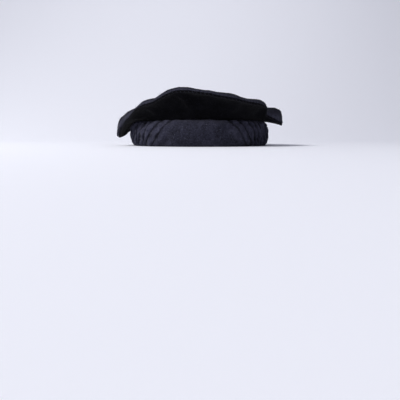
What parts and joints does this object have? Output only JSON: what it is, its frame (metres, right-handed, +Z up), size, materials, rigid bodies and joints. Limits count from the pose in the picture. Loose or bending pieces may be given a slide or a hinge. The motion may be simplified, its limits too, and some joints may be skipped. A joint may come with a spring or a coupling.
{
  "type": "pakol",
  "caption": "Soft round wool hat with a flat crown that droops over a thick rolled band, gathered at both sides; it slips on to the head and rests on its band.",
  "frame": {"origin": "middle of the hat's outline, on the surface that it rests on", "axes": "+Z up out of the crown, -Y to the front of the hat, +X to the right as seen from the front"},
  "size_m": [0.2504, 0.267, 0.0796],
  "materials": {
    "felted_wool": "matt charcoal-black felted wool"
  },
  "bodies": {
    "root": {"rolled_band": "felted_wool", "crown_side": "felted_wool", "crown_top": "felted_wool"}
  },
  "joints": []
}
